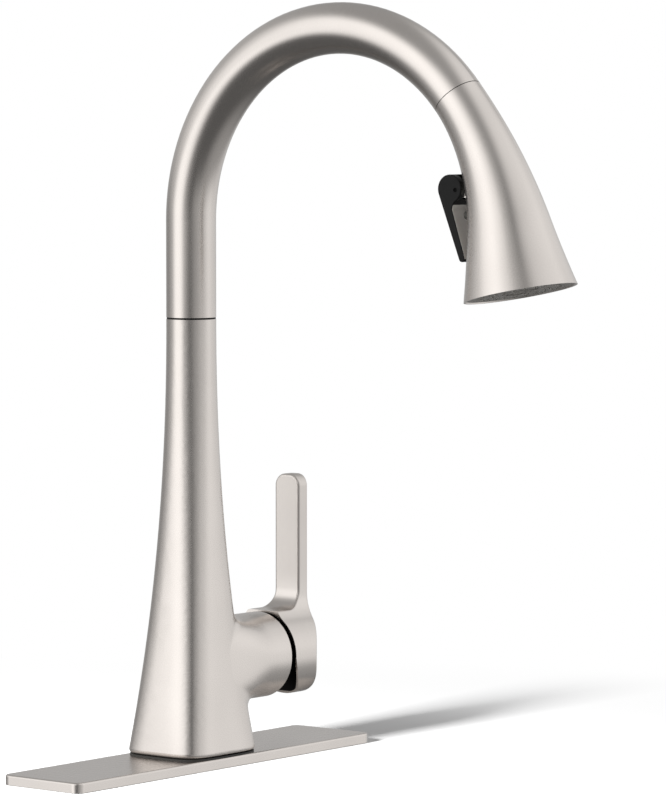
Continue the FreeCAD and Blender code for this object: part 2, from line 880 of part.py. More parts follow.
def valve_housing():
    """Brass cup that takes the cartridge, flat below where it meets the inlet block."""
    cup = cylinder(housing_radius, housing_start, housing_end, SIDE, valve_centre)
    pocket = cylinder(cartridge_radius + fit_gap, housing_floor, housing_end + OVER, SIDE, valve_centre)
    flat = box(V(0, -REACH, 0), V(block_radius + OVER, REACH, block_top + running_gap))
    ports = [Part.makeCylinder(port_radius, 2 * port_radius, place - SIDE * (2 * port_radius - OVER), SIDE)
             for place in port_places(housing_floor)]
    return one_solid(cup.cut([pocket, flat] + ports))


def inlet_block():
    """Block between housing and shank: two tapped inlets, one outlet spigot, and the hose's way through."""
    low = floor_top - fit_gap
    block = cylinder(block_radius, low, block_top)
    spigot = cylinder(outlet_radius, low - outlet_length, low + OVER, UP, V(-port_ring, 0, 0))
    block = block.fuse(spigot)
    cuts = [cylinder(hose_radius + hose_clearance, low - REACH, block_top + OVER)]
    cuts.append(cylinder(outlet_radius / 2, low - REACH, low + outlet_length, UP, V(-port_ring, 0, 0)))
    for side in (-1, 1):
        turn = math.radians(side * port_spread)
        place = V(port_ring * math.cos(turn), port_ring * math.sin(turn), 0)
        cuts.append(cylinder(inlet_radius, low - OVER, low + inlet_depth, UP, place))
    return one_solid(block.cut(cuts))


def cartridge_body():
    shell = cylinder(cartridge_radius, cartridge_foot, cartridge_top, SIDE, valve_centre)
    cuts = [
        cylinder(disc_chamber, chamber_floor, carrier_start - fit_gap, SIDE, valve_centre),
        cylinder(carrier_radius + running_gap, chamber_floor, cartridge_top + OVER, SIDE, valve_centre),
    ]
    for place in port_places(cartridge_foot):
        cuts.append(Part.makeCylinder(port_radius, 2 * cartridge_floor, place - SIDE, SIDE))
        recess = seal_height - seal_stand + fit_gap
        cuts.append(Part.makeCylinder(seal_radius + fit_gap, recess, place - SIDE * fit_gap, SIDE))
    return one_solid(shell.cut(cuts))


def inlet_seals():
    rings = []
    for place in port_places(seal_foot):
        ring = Part.makeCylinder(seal_radius, seal_height - running_gap, place, SIDE)
        rings.append(ring.cut(Part.makeCylinder(seal_bore, REACH, place - SIDE, SIDE)))
    return Part.makeCompound(rings)


def fixed_disc():
    disc = cylinder(disc_chamber - fit_gap, chamber_floor, fixed_disc_top, SIDE, valve_centre)
    places = port_places(chamber_floor)
    holes = [Part.makeCylinder(port_radius, REACH, place - SIDE, SIDE) for place in places]
    return one_solid(disc.cut(holes))


def moving_disc():
    """Ceramic slide with the socket that the stem's tip drives."""
    disc = cylinder(moving_disc_radius, fixed_disc_top + running_gap, moving_disc_top, SIDE, valve_centre)
    room = 2 * touch_gap
    socket = cylinder(stem_neck + room, stem_tip - room, moving_disc_top + OVER, SIDE, valve_centre)
    return one_solid(disc.cut(socket))


stem_rise = math.tan(math.radians(stem_sweep))


def stem_carrier():
    """Turret that turns in the cartridge and lets the stem tip up and down in its slot."""
    drum = cylinder(carrier_radius, carrier_start, cartridge_top - fit_gap, SIDE, valve_centre)
    half_y = stem_half + touch_gap
    swept = (stem_pivot - carrier_start) * stem_rise
    half_z = stem_half / math.cos(math.radians(stem_sweep)) + swept + touch_gap
    slot = box(valve_place(0, -half_y, -half_z), valve_place(REACH * 2, half_y, half_z))
    hole = Part.makeCylinder(stem_pin_radius, 2 * REACH, valve_place(stem_pivot, -REACH), BACK)
    return one_solid(drum.cut([slot, hole]))


def stem_pin():
    half = carrier_radius - stem_pin_radius
    return Part.makeCylinder(stem_pin_radius, 2 * half, valve_place(stem_pivot, -half), BACK)


def valve_stem():
    """Square lever stem with a round inner finger."""
    neck_end = stem_pivot - stem_half
    finger = cylinder(stem_neck, stem_tip, neck_end + OVER, SIDE, valve_centre)
    bar = box(valve_place(neck_end, -stem_half, -stem_half), valve_place(stem_end, stem_half, stem_half))
    hole = Part.makeCylinder(stem_pin_radius + running_gap, 2 * REACH, valve_place(stem_pivot, -REACH), BACK)
    return one_solid(finger.fuse(bar).cut(hole))


def bonnet_nut():
    """Ring nut in the boss that holds the cartridge down, with a rounded nose round the stem's sweep."""
    low = cartridge_top + running_gap
    shoulder = boss_end - bonnet_set_in
    mouth = stem_half * math.sqrt(2) + (bonnet_nose - stem_pivot) * stem_rise
    throat = stem_half * math.sqrt(2) + (low - stem_pivot) * stem_rise + OVER
    outer = valve_bore - fit_gap
    points = [(low, throat), (low, outer), (shoulder, outer)]
    nose = mouth + bonnet_lip
    at = [valve_place(x, 0, r) for x, r in points]
    end = valve_place(bonnet_nose, 0, nose)
    middle = valve_place((shoulder + bonnet_nose) / 2 + bonnet_bow, 0, (outer + nose) / 2 + bonnet_swell)
    lip = valve_place(bonnet_nose, 0, mouth)
    side = [line(at[0], at[1]), line(at[1], at[2]), arc(at[2], middle, end)]
    edges = side + [line(end, lip), line(lip, at[0])]
    face = Part.Face(Part.Wire(edges))
    return one_solid(face.revolve(valve_centre, SIDE, 360))


# Handle

def handle_outline():
    """The lever's front view: a round cap with a bar that flares out of it, at the rim's plane."""
    half, top = lever_half_width, lever_top - valve_height
    flare_z = math.sqrt((cap_radius + lever_flare) ** 2 - (half + lever_flare) ** 2)
    meet = cap_radius / (cap_radius + lever_flare)
    meet_y, meet_z = meet * (half + lever_flare), meet * flare_z
    middle_turn = (math.pi + math.atan2(-flare_z, -(half + lever_flare)) + 2 * math.pi) / 2
    middle_y = half + lever_flare + lever_flare * math.cos(middle_turn)
    middle_z = flare_z + lever_flare * math.sin(middle_turn)
    turn = lever_corner * (1 - math.sqrt(0.5))

    def at(y, z):
        return valve_place(cap_rim, y, z)

    right = [
        line(at(0, top), at(half - lever_corner, top)),
        arc(at(half - lever_corner, top), at(half - turn, top - turn), at(half, top - lever_corner)),
        line(at(half, top - lever_corner), at(half, flare_z)),
        arc(at(half, flare_z), at(middle_y, middle_z), at(meet_y, meet_z)),
    ]
    bottom = [arc(at(meet_y, meet_z), at(0, -cap_radius), at(-meet_y, meet_z))]
    left = [
        arc(at(-meet_y, meet_z), at(-middle_y, middle_z), at(-half, flare_z)),
        line(at(-half, flare_z), at(-half, top - lever_corner)),
        arc(at(-half, top - lever_corner), at(-half + turn, top - turn), at(-half + lever_corner, top)),
        line(at(-half + lever_corner, top), at(0, top)),
    ]
    return right + bottom + left


def handle_side():
    """The lever's side view: the inner face sweeps down on a hollow curve to the cap's rim."""
    inner = handle_face - lever_thickness
    top = lever_top - valve_height + OVER
    low = -cap_radius - OVER
    sweep_top = cap_radius + lever_sweep
    sweep_x = inner - lever_sweep
    bow = lever_sweep * math.sqrt(0.5)

    def at(x, z):
        return valve_place(x, -REACH, z)

    edges = [
        line(at(cap_rim, low), at(handle_face, low)),
        line(at(handle_face, low), at(handle_face, top)),
        line(at(handle_face, top), at(inner, top)),
        line(at(inner, top), at(inner, sweep_top)),
        arc(at(inner, sweep_top), at(sweep_x + bow, sweep_top - bow), at(sweep_x, cap_radius)),
        line(at(sweep_x, cap_radius), at(cap_rim, cap_radius)),
        line(at(cap_rim, cap_radius), at(cap_rim, low)),
    ]
    return prism(edges, BACK * (2 * REACH))


def rim_relief():
    """Cut that clears the boss under the cap when the lever tips out."""
    low = -cap_radius - 2 * OVER

    def at(dx, z):
        return valve_place(cap_rim + dx, -REACH, z)

    edges = [
        arc(at(0, -OVER), at(relief_mid_x, -relief_mid_z), at(relief_low_x, -relief_low_z)),
        line(at(relief_low_x, -relief_low_z), at(relief_end_x, low)),
        line(at(relief_end_x, low), at(-1, low)),
        line(at(-OVER, low), at(-OVER, -OVER)),
        line(at(-OVER, -OVER), at(0, -OVER)),
    ]
    return prism(edges, BACK * (2 * REACH))


def on_crown(edge):
    """True for the edges round the handle's crowned outer face."""
    middle = edge.valueAt((edge.FirstParameter + edge.LastParameter) / 2)
    points = [vertex.Point for vertex in edge.Vertexes] + [middle]
    axis_x = handle_face - handle_crown
    return all(abs(math.hypot(p.x - axis_x, p.y) - handle_crown) < NEAR for p in points)


def handle_blank():
    """Cap and lever in one, before its hollow is cut: the outer face is crowned about a vertical axis."""
    crown_axis = V(handle_face - handle_crown, 0, 0)
    crown = cylinder(handle_crown, 0, lever_top + OVER, UP, crown_axis)
    whole = prism(handle_outline(), SIDE * (handle_face - cap_rim)).common(handle_side()).common(crown)
    whole = one_solid(whole)
    whole = whole.makeFillet(handle_edge, [e for e in whole.Edges if on_crown(e)])
    inner = handle_face - lever_thickness
    sweep_top = valve_height + cap_radius + lever_sweep
    upper = [e for e in whole.Edges if abs(e.BoundBox.XMax - inner) < NEAR and e.BoundBox.XLength < NEAR]
    upper = [e for e in upper if e.BoundBox.ZMax > sweep_top + OVER]
    return whole.makeFillet(lever_edge, upper)


def handle():
    whole = handle_blank()
    cavity = cylinder(cap_cavity_radius, cap_rim - OVER, cap_rim + cap_cavity_depth, SIDE, valve_centre)
    hub = cylinder(hub_radius, cap_rim + hub_set_back, cap_rim + cap_cavity_depth + OVER, SIDE, valve_centre)
    half = stem_half + running_gap
    socket = box(valve_place(0, -half, -half), valve_place(stem_end + running_gap, half, half))
    screw_way = Part.makeCylinder(set_screw_radius + running_gap, REACH, set_screw_seat(), BACK)
    return one_solid(whole.cut([cavity.cut(hub), rim_relief(), socket, screw_way]))


def set_screw_seat():
    return valve_place(stem_end - 2 * set_screw_radius, stem_half + running_gap)


def handle_set_screw():
    """Hexagon-socket grub screw that grips the stem from behind."""
    screw = Part.makeCylinder(set_screw_radius, set_screw_length, set_screw_seat(), BACK)
    socket = hexagon(set_screw_radius, -set_screw_length / 2, OVER)
    socket.rotate(ORIGIN, SIDE, -90)
    socket.translate(set_screw_seat() + BACK * set_screw_length)
    return one_solid(screw.cut(socket))


# Mounting

def mounting_shank():
    """Threaded pipe that hangs through the deck, with a plain end that starts the nut."""
    thread = cylinder(shank_radius, -shank_length + pilot_length, floor_top - 2 * fit_gap)
    pilot = cylinder(pilot_radius, -shank_length, -shank_length + pilot_length + OVER)
    return one_solid(thread.fuse(pilot).cut(cylinder(shank_bore, -shank_length - OVER, floor_top + OVER)))


washer_foot = -deck_thickness - washer_thickness
nut_top = washer_foot - running_gap
nut_foot = nut_top - nut_height


def clamp_screw_places():
    for number in range(clamp_screw_count):
        turn = math.radians(30 + 360 * number / clamp_screw_count)
        yield V(clamp_screw_circle * math.cos(turn), clamp_screw_circle * math.sin(turn), 0)


def mounting_washer():
    return tube(washer_radius, shank_radius + 5 * fit_gap, washer_foot, -deck_thickness)


def mounting_nut():
    nut = hexagon(nut_across_flats, nut_foot, nut_top)
    holes = [cylinder(shank_radius + running_gap, nut_foot - OVER, nut_top + OVER)]
    for place in clamp_screw_places():
        holes.append(cylinder(clamp_screw_radius + running_gap, nut_foot - OVER, nut_top + OVER, UP, place))
    return one_solid(nut.cut(holes))


def clamp_screws():
    screws = []
    for place in clamp_screw_places():
        shaft = cylinder(clamp_screw_radius, nut_top - clamp_screw_length, nut_top, UP, place)
        head_foot = nut_top - clamp_screw_length - 2 * clamp_screw_radius
        head = cylinder(2 * clamp_screw_radius, head_foot, nut_top - clamp_screw_length, UP, place)
        slot = box(place + V(-REACH, -screw_slot_half, head_foot - OVER),
                   place + V(REACH, screw_slot_half, head_foot + screw_slot_depth))
        screws.append(one_solid(shaft.fuse(head).cut(slot)))
    return Part.makeCompound(screws)


nodes = {
    "deck_plate": deck_plate,
    "deck_tray": deck_tray,
    "deck_seal": deck_seal,
    "foot_ring": foot_ring,
    "body": body,
    "swivel_bush_upper": lambda: swivel_bush(upper_bush_top - bush_length),
    "swivel_bush_lower": lambda: swivel_bush(lower_bush_foot),
    "seam_ring": seam_ring,
    "swivel_sleeve": swivel_sleeve,
    "swivel_clip": swivel_clip,
    "spout": spout,
    "dock_insert": dock_insert,
    "head_shell": head_shell,
    "head_neck": head_neck,
    "head_waterway": head_waterway,
    "spray_face": spray_face,
    "nozzle_mat": nozzle_mat,
    "aerator_housing": aerator_housing,
    "aerator_screen": aerator_screen,
    "check_valve": check_valve,
    "rocker": rocker,
    "rocker_bracket": rocker_bracket,
    "rocker_pin": rocker_pin,
    "diverter_plunger": diverter_plunger,
    "spray_hose": spray_hose,
    "hose_ferrule": hose_ferrule,
    "hose_fitting": hose_fitting,
    "valve_housing": valve_housing,
    "inlet_block": inlet_block,
    "cartridge_body": cartridge_body,
    "inlet_seals": inlet_seals,
    "fixed_disc": fixed_disc,
    "moving_disc": moving_disc,
    "stem_carrier": stem_carrier,
    "stem_pin": stem_pin,
    "valve_stem": valve_stem,
    "bonnet_nut": bonnet_nut,
    "handle": handle,
    "handle_set_screw": handle_set_screw,
    "mounting_shank": mounting_shank,
    "mounting_washer": mounting_washer,
    "mounting_nut": mounting_nut,
    "clamp_screws": clamp_screws,
}

os.makedirs("parts", exist_ok=True)
for name, make in nodes.items():
    shape = make()
    if not shape.isValid() or shape.Volume <= 0:
        raise ValueError("%s is not a sound solid" % name)
    shape.exportStep("parts/%s.step" % name)
    print("%-18s %2d solid %10.1f mm3" % (name, len(shape.Solids), shape.Volume))
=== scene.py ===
# %% [markdown]
# # A brushed nickel kitchen faucet with a pull-down spray head
#
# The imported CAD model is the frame: it holds every rigid piece in its true place and size.
# Here the pieces get their finishes, the soft hose gets its woven form, and a small studio is set up.
# Every length is in metres. The column stands on the Z axis, the spout reaches towards -Y
# and the lever is on the +X side.

# %% Load the frame
import json
import math
import bpy
import numpy as np
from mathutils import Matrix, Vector


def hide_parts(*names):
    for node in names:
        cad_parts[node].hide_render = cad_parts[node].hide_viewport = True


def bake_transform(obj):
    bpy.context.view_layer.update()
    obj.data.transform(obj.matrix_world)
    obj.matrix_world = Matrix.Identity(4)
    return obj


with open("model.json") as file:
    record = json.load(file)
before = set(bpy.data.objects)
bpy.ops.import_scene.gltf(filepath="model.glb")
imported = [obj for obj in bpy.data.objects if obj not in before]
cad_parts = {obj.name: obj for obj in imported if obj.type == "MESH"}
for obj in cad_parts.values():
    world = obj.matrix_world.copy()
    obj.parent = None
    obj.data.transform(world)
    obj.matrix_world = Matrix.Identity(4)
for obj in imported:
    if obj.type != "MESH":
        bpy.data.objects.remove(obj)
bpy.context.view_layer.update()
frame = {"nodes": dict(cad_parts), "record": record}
nodes = frame["nodes"]

# %% [markdown]
# ## Camera
#
# A product photograph is taken from far off with a long lens, so upright lines stay nearly parallel.
# The place and the lens could be guessed and nudged by eye. They were fitted instead, to the outline
# of the round gooseneck and the ends of the deck plate, because those have sizes that are known.
# Blender gives the lens in millimetres of a sensor as wide as the longer side of the image.

# %% Camera
IMAGE_WIDTH = 666
IMAGE_HEIGHT = 797
FOCAL_PIXELS = 4535.3
SENSOR_MM = 36.0
CAMERA_PLACE = Vector((-1.9742, -1.6782, 0.3793))
LOOK = Vector((0.78013, 0.62221, -0.06517)).normalized()


def make_camera():
    """A camera whose lens is FOCAL_PIXELS as a share of the image's longer side, times the sensor's width."""
    data = bpy.data.cameras.new("photo_camera")
    data.sensor_fit = "AUTO"
    data.sensor_width = SENSOR_MM
    data.lens = FOCAL_PIXELS * SENSOR_MM / max(IMAGE_WIDTH, IMAGE_HEIGHT)
    camera = bpy.data.objects.new("photo_camera", data)
    bpy.context.scene.collection.objects.link(camera)
    camera.location = CAMERA_PLACE
    camera.rotation_mode = "QUATERNION"
    camera.rotation_quaternion = LOOK.to_track_quat("-Z", "Y")
    bpy.context.scene.camera = camera
    return camera


camera = make_camera()
print("lens %.1f mm" % camera.data.lens)

# %% [markdown]
# ## Tools for the finishes
#
# A finish is a small tree of nodes that ends in the Principled shader. Two tools are enough for all of them:
# one turns the hex code of a colour into the linear numbers that Blender works with,
# and one adds a node, sets it up and links what flows into it.
# Patterns read Object coordinates, which here are metres in the shared frame,
# so a pattern whose grains are P metres long has a scale of 1 / P.

# %% Colours and nodes
def linear(hex_colour):
    """The linear colour of an sRGB hex code: c / 12.92 up to 0.04045, else ((c + 0.055) / 1.055) ** 2.4."""
    channels = [int(hex_colour[i:i + 2], 16) / 255 for i in (1, 3, 5)]
    return [c / 12.92 if c <= 0.04045 else ((c + 0.055) / 1.055) ** 2.4 for c in channels] + [1.0]


def add(tree, kind, inputs, out=0, **settings):
    """Add a node with its settings. Each input, by name or number, is a value or a socket that flows in."""
    node = tree.nodes.new(kind)
    for name, value in settings.items():
        setattr(node, name, value)
    for socket, value in inputs.items():
        if isinstance(value, bpy.types.NodeSocket):
            tree.links.new(value, node.inputs[socket])
        else:
            node.inputs[socket].default_value = value
    return node.outputs[out] if len(node.outputs) else None


# where the Mix node keeps its two colours and their mixture
FIRST, SECOND, MIXED = 6, 7, 2


def empty_finish(name):
    """A new material, its empty node tree and the Object coordinates."""
    material = bpy.data.materials.new(name)
    material.use_nodes = True
    tree = material.node_tree
    tree.nodes.clear()
    return material, tree, add(tree, "ShaderNodeTexCoord", {}, "Object")


def close_finish(tree, **inputs):
    """End a finish in a Principled shader with these inputs, whose names have _ for a space."""
    shader = add(tree, "ShaderNodeBsdfPrincipled", {name.replace("_", " "): v for name, v in inputs.items()})
    add(tree, "ShaderNodeOutputMaterial", {"Surface": shader})


print("white is", linear("#FFFFFF"))

# %% [markdown]
# ## Brushed nickel
#
# The plate, column, spout, head and lever are castings and a tube with a satin nickel plating.
# The plating is drawn over with a fine abrasive, which leaves scratches about a tenth of a millimetre wide.
# They blur reflections and give the metal its soft, slightly warm sheen. One could draw each scratch,
# but noise that is stretched along the brushing gives the same look. It drives the roughness
# and a very faint bump, and a second, cloudy noise lets the tone drift a little over some centimetres.
# The plate is brushed along its length, and the rest is brushed upright.

# %% Brushed nickel
# real scratches are finer still, but narrower ones would not show
BRUSH_WIDTH = 0.00012
BRUSH_LENGTH = 0.006
BRUSH_DEPTH = 0.00002
BRUSH_STRENGTH = 0.05
CLOUD_SIZE = 0.03
SATIN = (0.22, 0.32)
MATT_EXTRA = 0.12


def brushed_nickel(name, along="Z", painted_shade_of=None, matt_of=None):
    """Satin nickel, brushed along an axis. The two masks mark where shade is painted dark and where it is
    rougher.
    """
    material, tree, place = empty_finish(name)
    grain = [1 / (BRUSH_LENGTH if axis == along else BRUSH_WIDTH) for axis in "XYZ"]
    drawn = add(tree, "ShaderNodeMapping", {"Vector": place, "Scale": grain})
    scratches = add(tree, "ShaderNodeTexNoise", {"Vector": drawn, "Scale": 1.0, "Detail": 3.0})
    clouds = add(tree, "ShaderNodeTexNoise", {"Vector": place, "Scale": 1 / CLOUD_SIZE, "Detail": 1.0})
    tones = {"Factor": clouds, FIRST: linear("#CFC9C4"), SECOND: linear("#D8D2CD")}
    colour = add(tree, "ShaderNodeMix", tones, MIXED, data_type="RGBA")
    if painted_shade_of:
        # painted shade: a near-black colour where the mask marks the cap's hollow
        shaded = {"Factor": painted_shade_of(tree, place), FIRST: colour, SECOND: linear("#0B0A0A")}
        colour = add(tree, "ShaderNodeMix", shaded, MIXED, data_type="RGBA")
    rough = add(tree, "ShaderNodeMapRange", {"Value": scratches, "To Min": SATIN[0], "To Max": SATIN[1]})
    if matt_of:
        rougher = {0: matt_of(tree, place), 1: MATT_EXTRA, 2: rough}
        rough = add(tree, "ShaderNodeMath", rougher, operation="MULTIPLY_ADD")
    relief = {"Height": scratches, "Strength": BRUSH_STRENGTH, "Distance": BRUSH_DEPTH}
    bump = add(tree, "ShaderNodeBump", relief)
    close_finish(tree, Base_Color=colour, Roughness=rough, Normal=bump, Metallic=1.0)
    return material


nickel = brushed_nickel("brushed_nickel")
plate_nickel = brushed_nickel("plate_nickel", "X")
print("brushed nickel with scratches", BRUSH_WIDTH * 1000, "mm wide")

# %% [markdown]
# ## The lever's cap and arm
#
# The lever swells into a cap that covers the valve. The inside of the cap lies in shade, so the gap
# between cap and column looks black, and that shade is painted there as a near-black colour.
# A second material on the inner faces would need them to be picked out one by one. A mask by place is simpler:
# the hollow is a cylinder round the valve's axis, so a point is in it where it is near that axis and short of
# the hollow's floor.
# The lever's flat arm is ground on a belt, which leaves it more matt than the round cap, so it mirrors
# less of the bright wall. A mask by height tells the two apart.

# %% The lever's nickel
VALVE_HEIGHT = 0.0574
HOLLOW_RADIUS = 0.0244
HOLLOW_FLOOR = 0.0824
ARM_FOOT = 0.088
ARM_ROOT = 0.105


def cap_hollow_painted_shade(tree, place):
    """The painted shade's mask: 1 where y ** 2 + (z - VALVE_HEIGHT) ** 2 < HOLLOW_RADIUS ** 2 and x <
    HOLLOW_FLOOR, else 0.
    """
    x = add(tree, "ShaderNodeSeparateXYZ", {0: place}, "X")
    y, z = x.node.outputs["Y"], x.node.outputs["Z"]
    height = add(tree, "ShaderNodeMath", {0: z, 1: VALVE_HEIGHT}, operation="SUBTRACT")
    square = add(tree, "ShaderNodeMath", {0: y, 1: y}, operation="MULTIPLY")
    square = add(tree, "ShaderNodeMath", {0: height, 1: height, 2: square}, operation="MULTIPLY_ADD")
    near = add(tree, "ShaderNodeMath", {0: square, 1: HOLLOW_RADIUS ** 2}, operation="LESS_THAN")
    before = add(tree, "ShaderNodeMath", {0: x, 1: HOLLOW_FLOOR}, operation="LESS_THAN")
    return add(tree, "ShaderNodeMath", {0: near, 1: before}, operation="MULTIPLY")


def lever_arm(tree, place):
    """0 below the arm's foot, 1 above its root, smooth between."""
    height = add(tree, "ShaderNodeSeparateXYZ", {0: place}, "Z")
    share = {"Value": height, "From Min": ARM_FOOT, "From Max": ARM_ROOT}
    return add(tree, "ShaderNodeMapRange", share, interpolation_type="SMOOTHSTEP")


lever_nickel = brushed_nickel("lever_nickel", "Z", cap_hollow_painted_shade, lever_arm)
print("the cap is dark within", HOLLOW_RADIUS * 1000, "mm of the valve's axis")

# %% [markdown]
# ## Turned metals
#
# Shank, nut, valve housing, pins and screws are brass and zinc-plated steel, turned on a lathe.
# Turning leaves fine rings about 0.4 mm apart, which streak the shine.
# Only their ends show, so one function with a streaked noise serves for all four metals.

# %% Turned metals
TURNING = 0.0004
STREAK = 0.004


def turned_metal(name, dark, light, roughness):
    """Metal with a streaked noise between two tones; the streaks also vary the roughness by a fifth."""
    material, tree, place = empty_finish(name)
    drawn = add(tree, "ShaderNodeMapping", {"Vector": place, "Scale": (1 / TURNING, 1 / TURNING, 1 / STREAK)})
    streaks = add(tree, "ShaderNodeTexNoise", {"Vector": drawn, "Scale": 1.0, "Detail": 2.0})
    tones = {"Factor": streaks, FIRST: linear(dark), SECOND: linear(light)}
    colour = add(tree, "ShaderNodeMix", tones, MIXED, data_type="RGBA")
    limits = {"Value": streaks, "To Min": roughness * 0.8, "To Max": roughness * 1.2}
    rough = add(tree, "ShaderNodeMapRange", limits)
    close_finish(tree, Base_Color=colour, Roughness=rough, Metallic=1.0)
    return material


# warm yellow and softly bright
brass = turned_metal("turned_brass", "#A8894E", "#C4A565", 0.35)
# nearly black: painted shade, so that the nut under the cap reads as the shade in the gap
brass_in_painted_shade = turned_metal("brass_painted_shade_black", "#15130F", "#221F19", 0.5)
# a cool, pale grey
steel = turned_metal("zinc_plated_steel", "#A9ABAD", "#C4C6C8", 0.35)
# black with a dull shine, as on the rocker's pin
dark_steel = turned_metal("blackened_steel", "#0E0E0E", "#171717", 0.5)
print("four turned metals")

# %% [markdown]
# ## Plastics, rubber and ceramic
#
# The rocker on the spray head, the rings at the seams and the spray face are moulded plastic.
# The mould is eroded by sparks, so the plastic has a grain of about half a millimetre with soft pits,
# which dulls its shine.
# The nozzles are soft rubber, and the valve's discs are ground ceramic with a much finer skin.
# All of them are one recipe: a noise of the grain's size between two close tones, with a shallow bump.

# %% Moulded and ground pieces
GRAIN_STRENGTH = 0.3


def grained(name, dark, light, roughness, grain, depth, gloss, painted_reflection_where=None):
    """A noise of one grain size mixes two tones, varies the roughness by a seventh and lifts the skin.

    Where a mask is given, a grey painted reflection covers the tones.
    """
    material, tree, place = empty_finish(name)
    pits = add(tree, "ShaderNodeTexNoise", {"Vector": place, "Scale": 1 / grain, "Detail": 3.0})
    tones = {"Factor": pits, FIRST: linear(dark), SECOND: linear(light)}
    colour = add(tree, "ShaderNodeMix", tones, MIXED, data_type="RGBA")
    if painted_reflection_where:
        # painted reflection: grey where the mask is set
        painted_grey = {"Factor": painted_reflection_where(tree, place), FIRST: colour, SECOND: linear("#A5A19C")}
        colour = add(tree, "ShaderNodeMix", painted_grey, MIXED, data_type="RGBA")
    limits = {"Value": pits, "To Min": roughness * 0.85, "To Max": roughness * 1.15}
    rough = add(tree, "ShaderNodeMapRange", limits)
    bump = add(tree, "ShaderNodeBump", {"Height": pits, "Strength": GRAIN_STRENGTH, "Distance": depth})
    close_finish(tree, Base_Color=colour, Roughness=rough, Normal=bump, Specular_IOR_Level=gloss)
    return material


# deep black with little shine
black_plastic = grained("black_acetal", "#050505", "#0A0A0A", 0.42, 0.0006, 0.00003, 0.12)
# three greys with a silky shine
grey_plastic = grained("grey_abs", "#56534F", "#615E5A", 0.45, 0.0006, 0.00003, 0.5)
dark_plastic = grained("charcoal_abs", "#1C1B1A", "#252422", 0.5, 0.0006, 0.00003, 0.3)
pale_plastic = grained("pale_grey_abs", "#85827E", "#918E8A", 0.45, 0.0006, 0.00003, 0.5)
# dull, as if dusty
grey_rubber = grained("grey_silicone_rubber", "#5E5B57", "#686561", 0.6, 0.0005, 0.00002, 0.4)
# white and smooth, with a faint gloss
ceramic = grained("alumina_ceramic", "#E6E4DF", "#F2F0EB", 0.25, 0.0008, 0.00001, 0.5)
print("four plastics, a rubber and a ceramic")

# %% [markdown]
# ## The rocker's painted reflection
#
# The rocker that changes the spray is black, but the photograph shows a grey strip between arm and head.
# It is taken to be the nickel head's reflection on the arm's inner face, painted in as grey. As with the
# lever's cap,
# a mask picks it out: a point gets the painted reflection where the surface looks towards the head, between
# the pivot's knob and the tip.

# %% The rocker's plastic
REFLECTION_FOOT = 0.2945
REFLECTION_TOP = 0.3285
TOWARDS_HEAD = -0.9


def arm_painted_reflection(tree, place):
    """1 where the normal's y is under TOWARDS_HEAD and z is between REFLECTION_FOOT and REFLECTION_TOP, else 0."""
    facing = add(tree, "ShaderNodeSeparateXYZ", {0: place.node.outputs["Normal"]}, "Y")
    inner = add(tree, "ShaderNodeMath", {0: facing, 1: TOWARDS_HEAD}, operation="LESS_THAN")
    height = add(tree, "ShaderNodeSeparateXYZ", {0: place}, "Z")
    middle = {0: height, 1: (REFLECTION_TOP + REFLECTION_FOOT) / 2, 2: (REFLECTION_TOP - REFLECTION_FOOT) / 2}
    between = add(tree, "ShaderNodeMath", middle, operation="COMPARE")
    return add(tree, "ShaderNodeMath", {0: inner, 1: between}, operation="MULTIPLY")


# the arm's inner face gets a painted grey reflection of the head
rocker_plastic = grained("black_acetal_painted_reflection", "#050505", "#0A0A0A", 0.42, 0.0006, 0.00003, 0.12, arm_painted_reflection)
print("the rocker is lined from", REFLECTION_FOOT, "to", REFLECTION_TOP, "m")

# %% [markdown]
# ## The finishes go on
#
# The record names a material slot for every CAD piece, so one loop can dress them all.
# A few pieces differ from their slot's usual finish and are named one by one.

# %% Dress the CAD pieces
slot_finish = {
    "satin_nickel": nickel,
    "black_plastic": black_plastic,
    "grey_plastic": grey_plastic,
    "grey_rubber": grey_rubber,
    "brass": brass,
    "steel": steel,
    "ceramic": ceramic,
    "hose_braid": grey_rubber,
}
own_finish = {
    "deck_plate": plate_nickel,
    "foot_ring": dark_plastic,
    "handle": lever_nickel,
    "rocker": rocker_plastic,
    "rocker_pin": dark_steel,
    "rocker_bracket": pale_plastic,
    "diverter_plunger": dark_plastic,
    # the bonnet nut is near-black as painted shade in the gap under the cap
    "bonnet_nut": brass_in_painted_shade,
}
for entry in frame["record"]["subparts"]:
    name = entry["node"]
    nodes[name].data.materials.clear()
    nodes[name].data.materials.append(own_finish.get(name, slot_finish[entry["material_slot"]]))

# %% [markdown]
# ## The spray hose
#
# The hose carries water up the column, over the bend and into the spray head,
# and pays out when the head is pulled. It is a rubber tube in a braided nylon sleeve.
# A curve with a round bevel could make the tube, but a surface
# worked out on a grid also gives the bore, both ends and a UV map that the braid can follow.
# Its line is the CAD hose's: straight out of the head, round a bend, then straight down through the shank.

# %% The hose's line
HOSE_RADIUS = 0.005
HOSE_BORE = 0.003
HOSE_IN_HEAD = 0.005
HOSE_STRAIGHT = 0.010
HOSE_FOOT = -0.100
ARC_RADIUS = 0.10795
ARC_FOOT = 0.3125
PULL_LEAN = math.radians(40.0)

turn_angle = math.pi - PULL_LEAN
bend_radius = ARC_RADIUS - HOSE_STRAIGHT / math.tan(turn_angle / 2)
pull_axis = np.array((0, -math.sin(PULL_LEAN), -math.cos(PULL_LEAN)))
mouth = np.array((0, -ARC_RADIUS * (1 + math.cos(PULL_LEAN)), ARC_FOOT + ARC_RADIUS * math.sin(PULL_LEAN)))
hose_top = mouth + pull_axis * HOSE_IN_HEAD
bend_from = HOSE_IN_HEAD + HOSE_STRAIGHT
bend_to = bend_from + bend_radius * turn_angle
hose_length = bend_to + ARC_FOOT + HOSE_STRAIGHT - HOSE_FOOT


